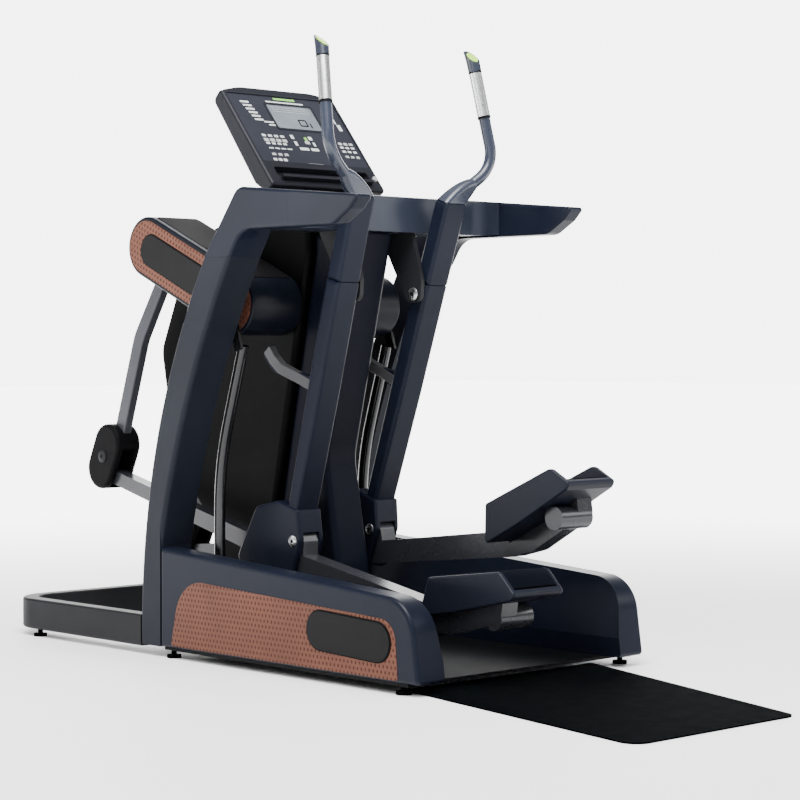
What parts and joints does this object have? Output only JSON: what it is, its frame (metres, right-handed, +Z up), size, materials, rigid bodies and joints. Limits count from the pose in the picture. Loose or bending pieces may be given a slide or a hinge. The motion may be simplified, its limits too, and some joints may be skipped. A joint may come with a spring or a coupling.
{
  "type": "stair climber",
  "caption": "Stair climber gym machine with swinging arms, hanging pedal levers, rocker links in round-ended pods, console crossbar, handrails and a floor mat.",
  "frame": {"origin": "on the floor, midway between the rear ends of the two side housings", "axes": "+Z up, +Y the way the user faces (towards the console), +X to the user's right"},
  "size_m": [1.021, 2.756, 1.7963],
  "materials": {
    "navy_cover": "satin",
    "slate_cover": "satin",
    "shroud_black": "satin",
    "frame_grey": "satin",
    "link_grey": "satin",
    "copper_panel": "satin",
    "steel": "brushed",
    "grip_silver": "brushed",
    "green_button": "gloss",
    "rubber_black": "matte",
    "console_grey": "satin",
    "display_grey": "gloss",
    "key_grey": "satin",
    "cast_grey": "cast"
  },
  "bodies": {
    "base": {"arm_lugs": "frame_grey", "arm_pins": "steel", "base_crossmember": "frame_grey", "console_deck": "navy_cover", "console_face": "console_grey", "console_housing": "console_grey", "console_keys": "key_grey", "console_neck": "console_grey", "display_screen": "display_grey", "drive_belt": "rubber_black", "frame_stays": "frame_grey", "front_frame": "frame_grey", "generator": "frame_grey", "hub_shaft": "steel", "left_rail_end": "navy_cover", "left_shoulder": "navy_cover", "left_shroud": "shroud_black", "left_side_housing": "navy_cover", "left_side_panel": "copper_panel", "left_upright": "slate_cover", "levelling_feet": "rubber_black", "mast_cover": "navy_cover", "mast_post": "frame_grey", "reading_ledge": "console_grey", "right_rail_end": "navy_cover", "right_shoulder": "navy_cover", "right_shroud": "shroud_black", "right_side_housing": "navy_cover", "right_side_panel": "copper_panel", "right_upright": "slate_cover", "step_mat": "rubber_black"},
    "left_arm_body": {"left_arm": "navy_cover", "left_arm_cover": "navy_cover", "left_arm_foot": "navy_cover", "left_handle": "navy_cover", "left_grip": "grip_silver"},
    "left_thumb_button_body": {"left_thumb_button": "green_button"},
    "left_lever_body": {"left_lever": "link_grey", "left_pedal": "shroud_black", "left_pedal_pad": "rubber_black"},
    "left_rocker_body": {"left_pod": "navy_cover", "left_pod_panel": "copper_panel"},
    "left_hanger_body": {"left_hanger": "link_grey", "left_pivot_block": "shroud_black"},
    "right_arm_body": {"right_arm": "navy_cover", "right_arm_cover": "navy_cover", "right_arm_foot": "navy_cover", "right_handle": "navy_cover", "right_grip": "grip_silver"},
    "right_thumb_button_body": {"right_thumb_button": "green_button"},
    "right_lever_body": {"right_lever": "link_grey", "right_pedal": "shroud_black", "right_pedal_pad": "rubber_black"},
    "right_rocker_body": {"right_pod": "navy_cover", "right_pod_panel": "copper_panel"},
    "right_hanger_body": {"right_hanger": "link_grey", "right_pivot_block": "shroud_black"},
    "start_button_body": {"start_button": "key_grey"},
    "flywheel_body": {"flywheel": "cast_grey"}
  },
  "joints": [
    {"name": "left_arm_swing", "type": "hinge", "parent": "base", "child": "left_arm_body", "pos_m": [-0.175, 0.604, 1.07], "axis": [1, 0, 0], "range_deg": [-1.3, 5.3]},
    {"name": "left_lever_swing", "type": "hinge", "parent": "left_arm_body", "child": "left_lever_body", "pos_m": [-0.175, 0.76211, 0.3491], "axis": [1, 0, 0], "range_deg": [-27.85, 6.85]},
    {"name": "left_rocker_swing", "type": "hinge", "parent": "base", "child": "left_rocker_body", "pos_m": [-0.2, 0.945, 1.04], "axis": [1, 0, 0], "range_deg": [-46.31, 11.38]},
    {"name": "left_hanger_swing", "type": "hinge", "parent": "left_rocker_body", "child": "left_hanger_body", "pos_m": [-0.175, 1.36682, 1.22096], "axis": [1, 0, 0], "range_deg": [-12.08, 49.18]},
    {"name": "left_thumb_button_press", "type": "slide", "parent": "left_arm_body", "child": "left_thumb_button_body", "axis": [-0.1276, 0.5604, -0.8183], "range_m": [0, 0.0015], "stiffness_N_per_m": 800, "springref_m": -0.0005},
    {"name": "right_arm_swing", "type": "hinge", "parent": "base", "child": "right_arm_body", "pos_m": [0.175, 0.604, 1.07], "axis": [1, 0, 0], "range_deg": [-5.32, 1.32]},
    {"name": "right_lever_swing", "type": "hinge", "parent": "right_arm_body", "child": "right_lever_body", "pos_m": [0.175, 0.81202, 0.36189], "axis": [1, 0, 0], "range_deg": [-6.85, 27.85]},
    {"name": "right_rocker_swing", "type": "hinge", "parent": "base", "child": "right_rocker_body", "pos_m": [0.2, 0.945, 1.04], "axis": [1, 0, 0], "range_deg": [-11.42, 46.47]},
    {"name": "right_hanger_swing", "type": "hinge", "parent": "right_rocker_body", "child": "right_hanger_body", "pos_m": [0.175, 1.3928, 0.93921], "axis": [1, 0, 0], "range_deg": [-49.34, 12.12]},
    {"name": "right_thumb_button_press", "type": "slide", "parent": "right_arm_body", "child": "right_thumb_button_body", "axis": [0.1276, 0.6162, -0.7772], "range_m": [0, 0.0015], "stiffness_N_per_m": 800, "springref_m": -0.0005},
    {"name": "start_button_press", "type": "slide", "parent": "base", "child": "start_button_body", "axis": [0, 0.7683, -0.6401], "range_m": [0, 0.0015], "stiffness_N_per_m": 800, "springref_m": -0.0005},
    {"name": "flywheel_spin", "type": "hinge", "parent": "base", "child": "flywheel_body", "pos_m": [0, 1.19, 0.69], "axis": [1, 0, 0], "continuous": true}
  ],
  "couplings": [
    {"joint": "left_lever_swing", "follows": "left_arm_swing", "ratio": -5.25},
    {"joint": "left_rocker_swing", "follows": "left_arm_swing", "ratio": -8.7331},
    {"joint": "left_hanger_swing", "follows": "left_arm_swing", "ratio": 9.274},
    {"joint": "right_arm_swing", "follows": "left_arm_swing", "ratio": -1},
    {"joint": "right_lever_swing", "follows": "left_arm_swing", "ratio": 5.25},
    {"joint": "right_rocker_swing", "follows": "left_arm_swing", "ratio": 8.7631},
    {"joint": "right_hanger_swing", "follows": "left_arm_swing", "ratio": -9.304}
  ]
}
